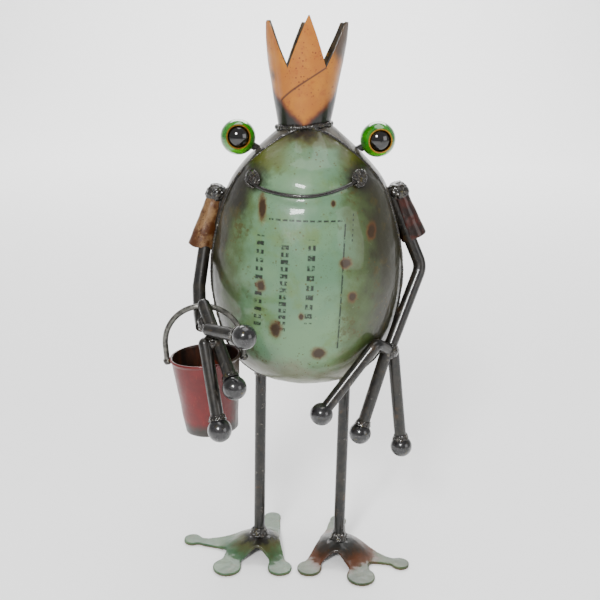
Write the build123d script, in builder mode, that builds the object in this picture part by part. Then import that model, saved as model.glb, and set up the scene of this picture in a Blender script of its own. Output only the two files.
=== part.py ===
from build123d import *
import os
from math import cos, radians, sin

# A welded scrap-metal frog king: an egg-shaped body of two dished drum sheets on bar legs, with a cut
# crown, glass eyes, bar arms and fingers, arched sheet feet, and a tin bucket that hangs by its bail in
# the crook of one hand. Millimetres, +Z up, the frog looks along -Y. Left and right are as seen from the
# front, so left is -X. Every place below is measured from the middle of the body, on the ground.
# The footprint moves every finished piece, so that the origin is the middle of the whole figure's outline.

# ---- driving dimensions ----
footprint = Location((7.03, 20.95, 0))

sheet = 1.2            # drum sheet of the body, sleeves and crown
bar_diameter = 8.0     # legs and fingers
arm_diameter = 8.5
ball_diameter = 14.8   # fingertips
bead = 2.0             # how far a weld stands off what it joins

# Half outline of the egg: radius and height, from the bottom to the top of the head
egg_profile = [
    (0, 139), (38, 147), (52.2, 161), (61.1, 184), (65.5, 217),
    (60.1, 252), (48.9, 280), (30.5, 300), (16.9, 312), (0, 321),
]
egg_lean = 1.15        # degrees, the head to the left
egg_offset = 3.4       # where the leaning axis meets the ground
seam_setback = 17.0    # the seam of the two shells, in front of the middle

crown_centre = (-5.0, 0)
crown_base_z = 300.0
crown_top_z = 376.8
crown_front_tip_z = 380.0
crown_base_radius = 14.8
crown_top_radius = 28.6
crown_valley_z = 349.0
crown_turn = 3.0
crown_teeth = 6

eye_diameter = 23.0
pupil_diameter = 14.0
eyes = {
    "left": {"centre": (-47.5, -8, 304.5), "pupil_shift": (1.2, 1.2)},
    "right": {"centre": (43.0, -8, 305.0), "pupil_shift": (1.6, -0.4)},
}

mouth_wire_width = 2.2
mouth_points = [(-39.7, 279.8), (-31.4, 277.0), (-21.2, 275.1), (-2.8, 274.1), (17.4, 277.9), (28.9, 281.9)]

sleeves = {
    "left": {"top": (-62.5, -3, 264.5), "end": (-72, -6, 231.5), "radii": (6.0, 9.3)},
    "right": {"top": (59.0, -2, 268.5), "end": (70.3, -4, 240.5), "radii": (6.0, 8.6)},
}
# The left arm ends in a hook, which the bail of the bucket hangs in
arms = {
    "left": [(-56, -3, 270), (-69.4, -9, 232.5), (-70.8, -33, 210.5), (-69, -45.8, 197), (-66, -59, 191.3)],
    "right": [(53, -2, 272), (75.4, -12, 222.2), (55.4, -32, 171.3)],
}
arm_bend = 13.0
# Each finger is the run of its bar, from the wrist to the middle of its ball
hands = {
    "left": {
        "inner": [(-60.1, -75, 194.6), (-36.8, -100, 199.1)],
        "middle": [(-65.1, -56.5, 204.9), (-43, -94, 164.8)],
        "outer": [(-62.4, -76.5, 186.1), (-51.8, -96, 138)],
    },
    "right": {
        "inner": [(53.1, -36, 171.3), (44.7, -46.5, 178.2), (10.4, -63, 135.6)],
        "middle": [(53.2, -35, 170.2), (37.3, -42, 113.3)],
        "outer": [(57.9, -29, 168.2), (67.2, -28, 97.8)],
    },
}
knuckle_bend = 5.0
wrists = {
    "left": [((-63.5, -60.8, 194), 5.4), ((-58.8, -74.9, 186.5), 4.8)],
    "right": [((54.8, -32.5, 169.5), 6.4)],
}

legs = {"left": (-31.3, -4), "right": (27.6, -8)}
foot_sheet = 2.2
instep_height = 12.0
instep_reach = 32.0
# Each lobe of a foot from the sole outwards: where it leaves the sole, its neck, and its round pad,
# each one a place beside the leg and a radius. These are the left foot's, the right foot mirrors them.
foot_lobes = {
    "heel": [((4, 2), 11), ((8.5, 38), 6.2), ((8.5, 43.5), 6.4)],
    "inner toe": [((4, -1), 11), ((13.5, -17), 5.6), ((16, -27), 8.7)],
    "middle toe": [((-8, -1), 13), ((-19.5, -18), 6.4), ((-21.8, -27.5), 10)],
}
outer_toes = {
    "left": [((-8, 4), 13), ((-39, 4.5), 4.2), ((-50.5, 8), 6.6)],
    "right": [((-8, 2), 13), ((-35.5, -2.5), 4.2), ((-46.4, -3.6), 6.6)],
}
foot_turns = {"left": 0, "right": -13}   # degrees about the leg
web_round = 5.0

pivot = (-68.1, -50, 202.2)   # middle of the bail wire, where it hangs in the crook of the hand
bucket_tilt = 4.9
tin = 0.8
bail_wire = 3.6
rim_bead = 1.8
rim_radius = 23.1
rim_drop = 33.5
bucket_height = 49.3
bucket_base_radius = 17.2


os.makedirs("parts", exist_ok=True)


def keep(piece, label):
    """Move a finished piece to the origin of the whole figure, name it and write it."""
    placed = piece.part.moved(footprint)
    placed.label = label
    export_step(placed, f"parts/{label}.step")


def bar_between(points, diameter, bend):
    """A round bar along straight runs, with a bend at each corner."""
    with BuildPart() as bar:
        with BuildLine() as run:
            if len(points) > 2:
                FilletPolyline(*points, radius=bend)
            else:
                Line(*points)
        with BuildSketch(Plane(origin=run.line @ 0, z_dir=run.line % 0)):
            Circle(diameter / 2)
        sweep()
    return bar.part


# ---- the egg-shaped body ----
lean_x = sin(radians(egg_lean))
lean_z = cos(radians(egg_lean))
egg_plane = Plane(origin=(egg_offset, 0, 0), x_dir=(lean_z, 0, lean_x), z_dir=(0, -1, 0))
egg_axis = Axis((egg_offset, 0, 0), (-lean_x, 0, lean_z))


def egg(inset):
    """The body as a solid egg, its skin moved inwards by inset."""
    outline = Spline(*egg_profile, tangents=[(1, 0), (-1, 0)])
    steps = 2 * len(egg_profile)
    moved = []
    for step in range(steps + 1):
        place = outline @ (step / steps)
        along = outline % (step / steps)
        moved.append((place.X - inset * along.Y, place.Y + inset * along.X))
    moved[0] = (0, moved[0][1])
    moved[-1] = (0, moved[-1][1])
    with BuildPart() as solid:
        with BuildSketch(egg_plane):
            with BuildLine():
                skin = Spline(*moved, tangents=[(1, 0), (-1, 0)])
                Line(skin @ 1, skin @ 0)
            make_face()
        revolve(axis=egg_axis, revolution_arc=180)
        mirror(about=Plane.XZ)
    return solid.part


egg_outer = egg(0)
egg_inner = egg(sheet)
egg_beaded = egg(-bead)
space = 3 * crown_top_z
front_of_seam = (Align.CENTER, Align.MAX, Align.CENTER)
behind_seam = (Align.CENTER, Align.MIN, Align.CENTER)

for label, side_of_seam in (("body_front_shell", front_of_seam), ("body_back_shell", behind_seam)):
    with BuildPart() as body_shell:
        with Locations((0, -seam_setback, 0)):
            Box(space, space, space, align=side_of_seam)
        add(egg_outer, mode=Mode.INTERSECT)
        add(egg_inner, mode=Mode.SUBTRACT)
    keep(body_shell, label)

# ---- crown: a cone of sheet, cut into teeth, standing on the head ----
crown_middle = Location((*crown_centre, 0))
crown_slope = (crown_top_radius - crown_base_radius) / (crown_top_z - crown_base_z)
crown_front_tip_radius = crown_base_radius + crown_slope * (crown_front_tip_z - crown_base_z)
tooth_pitch = 360 / crown_teeth
notch_top_z = crown_front_tip_z + 4
tip_half_width = 1.5
notch_half_width = crown_top_radius * sin(radians(tooth_pitch / 2)) - tip_half_width
notch_slope = notch_half_width / (crown_top_z - crown_valley_z)


def crown_cone(grow):
    """The crown as a solid cone, its side moved outwards by grow."""
    with BuildPart() as cone:
        with BuildSketch(Plane.XZ):
            with BuildLine():
                Polyline(
                    (0, crown_base_z), (crown_base_radius + grow, crown_base_z),
                    (crown_front_tip_radius + grow, crown_front_tip_z), (0, crown_front_tip_z), close=True,
                )
            make_face()
        revolve(axis=Axis.Z)
    return cone.part.moved(crown_middle)


crown_solid = crown_cone(0)

with BuildPart() as crown:
    add(crown_solid)
    add(crown_cone(-sheet), mode=Mode.SUBTRACT)
    for tooth in range(crown_teeth):
        angle = crown_turn - 90 + (tooth + 0.5) * tooth_pitch
        outward = Vector(1, 0, 0).rotate(Axis.Z, angle)
        notch_plane = Plane(origin=(*crown_centre, 0), x_dir=(-outward.Y, outward.X, 0), z_dir=outward)
        reach = notch_slope * (notch_top_z - crown_valley_z)
        with BuildSketch(notch_plane):
            with BuildLine():
                Polyline(
                    (0, crown_valley_z), (reach, notch_top_z), (-reach, notch_top_z), close=True,
                )
            make_face()
        extrude(amount=2 * crown_top_radius, mode=Mode.SUBTRACT)
    # every tooth but the front one is a little shorter
    with Locations((crown_centre[0], crown_top_radius - 0.3 * crown_top_radius, crown_top_z)):
        Box(
            4 * crown_top_radius, 3 * crown_top_radius, 20,
            align=(Align.CENTER, Align.CENTER, Align.MIN), mode=Mode.SUBTRACT,
        )
    add(egg_outer, mode=Mode.SUBTRACT)
keep(crown, "crown")

with BuildPart() as crown_weld:
    add(egg_beaded)
    add(crown_cone(bead), mode=Mode.INTERSECT)
    add(egg_outer, mode=Mode.SUBTRACT)
    add(crown_solid, mode=Mode.SUBTRACT)
keep(crown_weld, "crown_weld")

seam_width = 3.0
seam_bead = 0.8
with BuildPart() as body_seam_core:
    with Locations((0, -seam_setback, 0)):
        Box(space, seam_width, space)
    add(egg_outer, mode=Mode.INTERSECT)

with BuildPart() as body_seam_weld:
    with Locations((0, -seam_setback, 0)):
        Box(space, seam_width, space)
    add(egg(-seam_bead), mode=Mode.INTERSECT)
    add(body_seam_core.part, mode=Mode.SUBTRACT)
    add(crown_cone(bead), mode=Mode.SUBTRACT)

# ---- mouth: a wire laid across the face, tacked at both corners ----
wire_stand = 1.3
weld_stand = 1.6
face_plane = Plane.XZ.offset(seam_setback + 1.6)
mouth_weld_radius = 5.0
mouth_weld_places = {"left": (-36.5, 281.5), "right": (30.5, 283.5)}


with BuildLine() as mouth_line:
    Spline(*mouth_points)

with BuildPart() as mouth_wire:
    with BuildSketch(face_plane):
        trace(mouth_line.line, line_width=mouth_wire_width)
    extrude(amount=60)
    add(egg(-wire_stand), mode=Mode.INTERSECT)
    add(egg_outer, mode=Mode.SUBTRACT)
keep(mouth_wire, "mouth_wire")

for side, place in mouth_weld_places.items():
    with BuildPart() as mouth_weld:
        with BuildSketch(face_plane):
            with Locations(place):
                Circle(mouth_weld_radius)
            trace(mouth_line.line, line_width=mouth_wire_width, mode=Mode.SUBTRACT)
        extrude(amount=60)
        add(egg(-weld_stand), mode=Mode.INTERSECT)
        add(egg_outer, mode=Mode.SUBTRACT)
    keep(mouth_weld, f"mouth_weld_{side}")

# ---- eyes: a glass ball, a gold ring and a domed pupil let into its front, a post behind ----
recess_depth = 3.0
ring_width = 0.9
dome_stand = 1.6
post_diameter = 5.0

for side, eye in eyes.items():
    x, y, z = eye["centre"]
    eye_radius = eye_diameter / 2
    shift_x, shift_z = eye["pupil_shift"]
    look = Vector(shift_x, -eye_radius, shift_z).normalized()
    pupil_plane = Plane(origin=(x, y, z), x_dir=(1, 0, 0), z_dir=look)
    face_height = (eye_radius**2 - (pupil_diameter / 2 + ring_width) ** 2) ** 0.5
    ring_plane = pupil_plane.offset(face_height - recess_depth / 2)

    with BuildPart() as eye_ball:
        with Locations((x, y, z)):
            Sphere(eye_radius)
        with BuildSketch(ring_plane):
            Circle(pupil_diameter / 2 + ring_width)
        extrude(amount=eye_diameter, mode=Mode.SUBTRACT)
    keep(eye_ball, f"eye_ball_{side}")

    with BuildPart() as eye_ring:
        with BuildSketch(ring_plane):
            Circle(pupil_diameter / 2 + ring_width)
            Circle(pupil_diameter / 2, mode=Mode.SUBTRACT)
        extrude(amount=recess_depth / 2)
    keep(eye_ring, f"eye_ring_{side}")

    dome_height = recess_depth / 2 + dome_stand
    dome_radius = ((pupil_diameter / 2) ** 2 + dome_height**2) / (2 * dome_height)
    with BuildPart() as eye_pupil:
        with BuildSketch(ring_plane):
            Circle(pupil_diameter / 2)
        extrude(amount=dome_height)
        with Locations(ring_plane.offset(dome_height - dome_radius)):
            Sphere(dome_radius, mode=Mode.INTERSECT)
    keep(eye_pupil, f"eye_pupil_{side}")

    inward = Vector(egg_offset - lean_x * z - x, -y, -26).normalized()
    with BuildPart() as eye_post:
        with BuildSketch(Plane(origin=(x, y, z), z_dir=inward)):
            Circle(post_diameter / 2)
        extrude(amount=30)
        add(egg_outer, mode=Mode.SUBTRACT)
        with Locations((x, y, z)):
            Sphere(eye_radius, mode=Mode.SUBTRACT)
    keep(eye_post, f"eye_post_{side}")

# ---- arms, sleeves and hands ----
from_top = (Align.CENTER, Align.CENTER, Align.MIN)
shoulder_weld_size = 1.4
tip_weld_sink = 1.6      # how far down the ball a fingertip weld starts
tip_weld_length = 3.6

for side in ("left", "right"):
    with BuildPart() as arm_bar:
        add(bar_between(arms[side], arm_diameter, arm_bend))
        add(egg_outer, mode=Mode.SUBTRACT)
    keep(arm_bar, f"arm_bar_{side}")

    top = Vector(*sleeves[side]["top"])
    end = Vector(*sleeves[side]["end"])
    top_radius, end_radius = sleeves[side]["radii"]
    sleeve_plane = Plane(origin=top, z_dir=end - top)
    sleeve_length = (end - top).length
    with BuildPart() as shoulder_sleeve:
        with Locations(sleeve_plane):
            Cone(top_radius, end_radius, sleeve_length, align=from_top)
            Cone(top_radius - sheet, end_radius - sheet, sleeve_length, align=from_top, mode=Mode.SUBTRACT)
        add(egg_outer, mode=Mode.SUBTRACT)
        add(body_seam_weld.part, mode=Mode.SUBTRACT)
        add(arm_bar.part, mode=Mode.SUBTRACT)
    keep(shoulder_sleeve, f"shoulder_sleeve_{side}")

    with BuildPart() as shoulder_weld:
        with Locations(top + (top - end).normalized() * shoulder_weld_size):
            Sphere(top_radius + shoulder_weld_size)
        with Locations(sleeve_plane):
            Cone(top_radius, end_radius, sleeve_length, align=from_top, mode=Mode.SUBTRACT)
        add(egg_outer, mode=Mode.SUBTRACT)
        add(arm_bar.part, mode=Mode.SUBTRACT)
        add(shoulder_sleeve.part, mode=Mode.SUBTRACT)
    keep(shoulder_weld, f"shoulder_weld_{side}")

    # fingers, each cut back where it meets the bars before it and its own ball
    earlier = [arm_bar.part]
    balls = []
    for finger in ("middle", "outer", "inner"):
        run = [Vector(*point) for point in hands[side][finger]]
        with BuildPart() as finger_ball:
            with Locations(run[-1]):
                Sphere(ball_diameter / 2)
        keep(finger_ball, f"finger_ball_{side}_{finger}")
        balls.append((run, finger_ball.part))
        with BuildPart() as finger_bar:
            add(bar_between(run, bar_diameter, knuckle_bend))
            with Locations(run[0]):
                Sphere(bar_diameter / 2)
            for piece in earlier:
                add(piece, mode=Mode.SUBTRACT)
            add(finger_ball.part, mode=Mode.SUBTRACT)
        keep(finger_bar, f"finger_bar_{side}_{finger}")
        earlier.append(finger_bar.part)

    with BuildPart() as wrist_weld:
        for place, radius in wrists[side]:
            with Locations(place):
                Sphere(radius)
        for piece in earlier:
            add(piece, mode=Mode.SUBTRACT)
        add(egg_outer, mode=Mode.SUBTRACT)
    keep(wrist_weld, f"wrist_weld_{side}")

    with BuildPart() as fingertip_welds:
        for run, ball in balls:
            back = (run[-2] - run[-1]).normalized()
            with Locations(Plane(origin=run[-1] + back * (ball_diameter / 2 - tip_weld_sink), z_dir=back)):
                Cone(bar_diameter / 2 + 1.6, bar_diameter / 2 + 0.4, tip_weld_length, align=from_top)
                Cylinder(bar_diameter / 2, tip_weld_length, align=from_top, mode=Mode.SUBTRACT)
            add(ball, mode=Mode.SUBTRACT)
    keep(fingertip_welds, f"fingertip_welds_{side}")

# ---- feet: thick sheet cut to four lobes, the instep raised, every pad flat on the ground ----
flat_reach = 80.0
hip_weld_z = 139.0
hip_weld_height = 10.0
belly_ball_z = 221.0        # the ball whose underside follows the body's bottom
belly_ball_radius = 83.8

with BuildPart() as instep:
    with BuildSketch(Plane.XZ):
        with BuildLine():
            under = Spline((0, instep_height), (instep_reach, 0), tangents=[(1, 0), (1, 0)])
            Polyline(under @ 1, (flat_reach, 0), (flat_reach, foot_sheet), (instep_reach, foot_sheet))
            over = Spline(
                (0, instep_height + foot_sheet), (instep_reach, foot_sheet), tangents=[(1, 0), (1, 0)]
            )
            Line(over @ 0, under @ 0)
        make_face()
    revolve(axis=Axis.Z)

for side, (leg_x, leg_y) in legs.items():
    mirror_x = 1 if side == "left" else -1
    with BuildPart() as sole:
        with BuildSketch():
            for root, neck, pad in [*foot_lobes.values(), outer_toes[side]]:
                neck_radius = neck[1]
                for near, far in ((root, neck), (neck, (pad[0], 0.8 * neck_radius))):
                    with BuildSketch(mode=Mode.PRIVATE) as limb:
                        for place, radius in (near, far):
                            with Locations((mirror_x * place[0], place[1])):
                                Circle(radius)
                        make_hull()
                    add(limb.sketch)
                with Locations((mirror_x * pad[0][0], pad[0][1])):
                    Circle(pad[1])
            offset(amount=web_round, kind=Kind.ARC)
            offset(amount=-web_round, kind=Kind.ARC)
        extrude(amount=instep_height + 2 * foot_sheet)
        add(instep.part, mode=Mode.INTERSECT)

    with BuildPart() as foot:
        add(sole.part.moved(Location((leg_x, leg_y, 0), (0, 0, foot_turns[side]))))
    keep(foot, f"foot_{side}")

    with BuildPart() as leg_bar:
        with BuildSketch(Plane.XY.offset(instep_height + foot_sheet / 2)):
            with Locations((leg_x, leg_y)):
                Circle(bar_diameter / 2)
        extrude(amount=egg_profile[4][1] - instep_height)
        add(foot.part, mode=Mode.SUBTRACT)
        add(egg_outer, mode=Mode.SUBTRACT)
    keep(leg_bar, f"leg_bar_{side}")

    with BuildPart() as ankle_weld:
        with Locations((leg_x, leg_y, instep_height + foot_sheet / 2)):
            Cone(bar_diameter / 2 + 3.2, bar_diameter / 2 + 0.4, 5.5, align=from_top)
        add(foot.part, mode=Mode.SUBTRACT)
        add(leg_bar.part, mode=Mode.SUBTRACT)
    keep(ankle_weld, f"ankle_weld_{side}")

    with BuildPart() as hip_weld:
        with Locations((leg_x, leg_y, hip_weld_z)):
            Cone(bar_diameter / 2 + 0.5, bar_diameter / 2 + bead, hip_weld_height, align=from_top)
            Cylinder(bar_diameter / 2, hip_weld_height, align=from_top, mode=Mode.SUBTRACT)
        with Locations((egg_offset - belly_ball_z * lean_x, 0, belly_ball_z)):
            Sphere(belly_ball_radius, mode=Mode.SUBTRACT)
    keep(hip_weld, f"hip_weld_{side}")

keep(body_seam_weld, "body_seam_weld")

# ---- bucket: built about the point where its bail hangs, then tilted and hung there ----
hang = Location(pivot, (0, -bucket_tilt, 0))
base_drop = rim_drop + bucket_height
wall_slope = (rim_radius - rim_bead / 2 - bucket_base_radius) / bucket_height


def hung(piece):
    """Tilt a bucket piece and hang it at the pivot."""
    with BuildPart() as placed:
        add(piece.part.moved(hang))
    return placed


with BuildPart() as bucket_wall:
    with BuildSketch(Plane.XZ):
        with BuildLine():
            Polyline(
                (bucket_base_radius, -base_drop), (rim_radius - rim_bead / 2, -rim_drop),
                (rim_radius - rim_bead / 2 - tin, -rim_drop), (bucket_base_radius - tin, -base_drop),
                close=True,
            )
        make_face()
    revolve(axis=Axis.Z)
keep(hung(bucket_wall), "bucket_wall")

base_lift = 2.0
base_radius = bucket_base_radius - tin + wall_slope * base_lift
with BuildPart() as bucket_base:
    with BuildSketch(Plane.XY.offset(base_lift - base_drop)):
        Circle(base_radius)
    extrude(amount=tin)
keep(hung(bucket_base), "bucket_base")

with BuildPart() as bucket_rim:
    with BuildSketch(Plane.XZ):
        with Locations((rim_radius - rim_bead / 2, -rim_drop)):
            Circle(rim_bead / 2)
    revolve(axis=Axis.Z)
    add(bucket_wall.part, mode=Mode.SUBTRACT)
keep(hung(bucket_rim), "bucket_rim")

bail_radius = rim_radius + bail_wire / 2
bail_end_drop = rim_drop + 4.0
with BuildPart() as bucket_bail:
    with BuildLine() as bail_run:
        Line((-bail_radius, 0, -bail_end_drop), (-bail_radius, 0, -bail_radius))
        ThreePointArc((-bail_radius, 0, -bail_radius), (0, 0, 0), (bail_radius, 0, -bail_radius))
        Line((bail_radius, 0, -bail_radius), (bail_radius, 0, -bail_end_drop))
    with BuildSketch(Plane(origin=bail_run.line @ 0, z_dir=bail_run.line % 0)):
        Circle(bail_wire / 2)
    sweep()
keep(hung(bucket_bail), "bucket_bail")

with BuildPart() as bail_end_welds:
    for end_x in (-bail_radius, bail_radius):
        with Locations((end_x * 0.99, 0, -rim_drop - 2.0)):
            Sphere(bail_wire / 2 + 0.9)
    with BuildSketch(Plane.XY.offset(-base_drop)):
        Circle(bucket_base_radius)
    with BuildSketch(Plane.XY.offset(-rim_drop)):
        Circle(rim_radius - rim_bead / 2)
    loft(mode=Mode.SUBTRACT)
    add(bucket_rim.part, mode=Mode.SUBTRACT)
    add(bucket_bail.part, mode=Mode.SUBTRACT)
keep(hung(bail_end_welds), "bail_end_welds")

print("pieces written:", len(os.listdir("parts")))
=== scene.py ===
from math import acos, cos, pi, radians, sin, sqrt

import bmesh
import bpy
import numpy as np
from mathutils import Matrix, Vector, noise


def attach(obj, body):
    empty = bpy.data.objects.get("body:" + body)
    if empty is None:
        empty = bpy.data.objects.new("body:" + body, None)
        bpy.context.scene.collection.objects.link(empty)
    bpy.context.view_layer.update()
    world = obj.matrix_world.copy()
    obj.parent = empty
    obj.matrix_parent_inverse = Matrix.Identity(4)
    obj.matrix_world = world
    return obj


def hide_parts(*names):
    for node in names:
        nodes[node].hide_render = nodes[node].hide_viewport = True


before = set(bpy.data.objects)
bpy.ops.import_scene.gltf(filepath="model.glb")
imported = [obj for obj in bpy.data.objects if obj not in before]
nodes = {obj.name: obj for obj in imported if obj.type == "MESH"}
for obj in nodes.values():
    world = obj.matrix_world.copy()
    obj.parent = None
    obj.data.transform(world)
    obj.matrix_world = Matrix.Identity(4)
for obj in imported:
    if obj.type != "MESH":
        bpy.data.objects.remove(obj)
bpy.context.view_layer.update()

MM = 0.001
BODY = Vector((7.03, 20.95, 0.0))   # millimetres from the origin to the middle of the body, on the ground
SIDES = ("left", "right")
FINGERS = ("middle", "outer", "inner")

# ---- the egg-shaped body, as the CAD model has it: radius and height in millimetres ----
EGG = [(0, 139), (38, 147), (52.2, 161), (61.1, 184), (65.5, 217),
       (60.1, 252), (48.9, 280), (30.5, 300), (16.9, 312), (0, 321)]
LEAN = radians(1.15)
AXIS_X = 3.4
SEAM = 17.0
SHEET = 1.2


def curve_through(points, first, last, count):
    """Evenly timed points on the smooth curve through points, with the end directions given."""
    points = np.array(points, float)
    span = np.linalg.norm(np.diff(points, axis=0), axis=1)
    knots = np.concatenate([[0], np.cumsum(span)])
    size = len(points)
    left = np.zeros((size, size))
    right = np.zeros_like(points)
    left[0, 0] = left[-1, -1] = 1
    right[0], right[-1] = first, last
    for i in range(1, size - 1):
        a, b = span[i - 1], span[i]
        left[i, i - 1:i + 2] = b, 2 * (a + b), a
        right[i] = 3 * (b * (points[i] - points[i - 1]) / a + a * (points[i + 1] - points[i]) / b)
    slope = np.linalg.solve(left, right)
    out = []
    for t in np.linspace(0, knots[-1], count):
        i = min(max(int(np.searchsorted(knots, t, side="right")) - 1, 0), size - 2)
        h = span[i]
        u = (t - knots[i]) / h
        out.append((2 * u**3 - 3 * u**2 + 1) * points[i] + (u**3 - 2 * u**2 + u) * h * slope[i]
                   + (3 * u**2 - 2 * u**3) * points[i + 1] + (u**3 - u**2) * h * slope[i + 1])
    return np.array(out)


outline = curve_through(EGG, (1, 0), (-1, 0), 600)


def egg_radius(height):
    return float(np.interp(height, outline[:, 1], outline[:, 0]))


def egg_point(step, angle, out=0.0):
    """A point on the egg: step along the outline from 0 to 1, angle round the axis from +X."""
    at = step * (len(outline) - 1)
    i = min(int(at), len(outline) - 2)
    here, after = outline[i], outline[i + 1]
    radius, height = here + (after - here) * (at - i)
    dr, dz = (after - here) / np.linalg.norm(after - here)
    radius, height = radius + dz * out, height - dr * out
    x = radius * cos(angle)
    return Vector((AXIS_X + x * cos(LEAN) - height * sin(LEAN), radius * sin(angle),
                   x * sin(LEAN) + height * cos(LEAN)))


def on_front(x, z, out=0.0):
    """The point of the body's front at x and z, moved outwards."""
    across = (x - AXIS_X) * cos(LEAN) + z * sin(LEAN)
    height = -(x - AXIS_X) * sin(LEAN) + z * cos(LEAN)
    radius = egg_radius(height) + out
    return Vector((x, -sqrt(max(radius**2 - across**2, 0.01)), z))


# ---- mesh helpers; lengths are millimetres from the middle of the body ----
def new_object(name, points, faces, materials, body, replaced=(), marks=None, face_slots=None):
    mesh = bpy.data.meshes.new(name)
    mesh.from_pydata([tuple((Vector(p) + BODY) * MM) for p in points], [], faces)
    for material in materials:
        mesh.materials.append(material)
    if marks is not None:
        layer = mesh.attributes.new("edge", "FLOAT", "POINT")
        layer.data.foreach_set("value", np.array(marks, np.float32))
    if face_slots is not None:
        mesh.polygons.foreach_set("material_index", face_slots)
    edit = bmesh.new()
    edit.from_mesh(mesh)
    bmesh.ops.remove_doubles(edit, verts=edit.verts, dist=0.00002)
    bmesh.ops.recalc_face_normals(edit, faces=edit.faces)
    middle = sum((v.co for v in edit.verts), Vector()) / len(edit.verts)
    if sum(f.normal.dot(f.calc_center_median() - middle) * f.calc_area() for f in edit.faces) < 0:
        bmesh.ops.reverse_faces(edit, faces=edit.faces)
    edit.to_mesh(mesh)
    edit.free()
    mesh.shade_smooth()
    piece = bpy.data.objects.new(name, mesh)
    bpy.context.scene.collection.objects.link(piece)
    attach(piece, body)
    if replaced:
        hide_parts(*replaced)
    return piece


def grid_faces(rows, columns, closed=False):
    faces = []
    for r in range(rows - 1):
        for c in range(columns if closed else columns - 1):
            d = (c + 1) % columns
            faces.append((r * columns + c, r * columns + d, (r + 1) * columns + d, (r + 1) * columns + c))
    return faces


def thicken(piece, thickness, inner_slot=0, rim_slot=0):
    solid = piece.modifiers.new("thickness", "SOLIDIFY")
    solid.thickness = thickness * MM
    solid.offset = -1
    solid.material_offset = inner_slot
    solid.material_offset_rim = rim_slot
    return piece


def lumps(point, size, seed=0.0):
    """Smooth noise from -1 to 1 with lumps of that size."""
    return noise.noise(Vector(point) / size + Vector((seed, 1.7 * seed, -seed)))


def bead(name, path, radius, material, body, replaced=(), rough=0.0, closed=False, sides=14):
    """A round wire or weld bead along a path; rough makes it ripple like a deposited weld."""
    path = [Vector(p) for p in path]
    count = len(path)
    points = []
    travelled = 0.0
    side = None
    for i, here in enumerate(path):
        before = path[i - 1] if i or closed else here
        after = path[(i + 1) % count] if i < count - 1 or closed else here
        along = (after - before).normalized()
        side = along.orthogonal() if side is None else side - along * side.dot(along)
        side.normalize()
        up = along.cross(side)
        travelled += (here - path[i - 1]).length if i else 0.0
        ripple = 0.16 * sin(travelled * 2 * pi / 2.3) + 0.55 * lumps(here, 5.0, 3.1)
        ripple += 0.3 * lumps(here, 2.2, 8.0)
        size = radius * (1 + rough * ripple)
        for s in range(sides):
            a = 2 * pi * s / sides
            points.append(here + (side * cos(a) + up * sin(a)) * size)
    faces = grid_faces(count, sides, closed=True)
    if closed:
        faces += [((count - 1) * sides + s, (count - 1) * sides + (s + 1) % sides, (s + 1) % sides, s)
                  for s in range(sides)]
    else:
        faces += [tuple(range(sides)), tuple((count - 1) * sides + s for s in range(sides))]
    return new_object(name, points, faces, [material], body, replaced)


def weathered(node, material, body, voxel=0.45, lump=0.0, size=3.0, smooth=2):
    """A piece with the CAD node's shape, its edges worn round and its skin uneven."""
    source = nodes[node]
    copy = bpy.data.objects.new(node + "_source", source.data.copy())
    bpy.context.scene.collection.objects.link(copy)
    remesh = copy.modifiers.new("remesh", "REMESH")
    remesh.mode = "VOXEL"
    remesh.voxel_size = voxel * MM
    wear = copy.modifiers.new("wear", "SMOOTH")
    wear.factor = 0.5
    wear.iterations = smooth
    bpy.context.view_layer.update()
    mesh = bpy.data.meshes.new_from_object(copy.evaluated_get(bpy.context.evaluated_depsgraph_get()))
    bpy.data.objects.remove(copy)
    mesh.materials.clear()
    mesh.materials.append(material)
    if lump:
        normals = [v.normal.copy() for v in mesh.vertices]
        for vertex, normal in zip(mesh.vertices, normals):
            place = vertex.co / MM
            push = 0.65 * lumps(place, size, 2.0) + 0.45 * lumps(place, size * 0.42, 5.0)
            vertex.co += normal * push * lump * MM
    mesh.shade_smooth()
    piece = bpy.data.objects.new(node + "_shape", mesh)
    bpy.context.scene.collection.objects.link(piece)
    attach(piece, body)
    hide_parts(node)
    return piece


# ---- materials ----
# Paint tones are made richer and darker by these two factors. Both were set by trial, by looking at renders
# under the lights below; they are not measured.
RICHNESS = 1.8
DIMMING = 0.44


def tone(red, green, blue):
    """A paint tone from a colour of 0 to 255, made richer and darker to suit this scene's lights."""
    values = [c / 255 for c in (red, green, blue)]
    linear = [c / 12.92 if c <= 0.04045 else ((c + 0.055) / 1.055)**2.4 for c in values]
    grey = sum(linear) / 3
    return [max(grey + (c - grey) * RICHNESS, 0.0) * DIMMING for c in linear] + [1.0]


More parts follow.
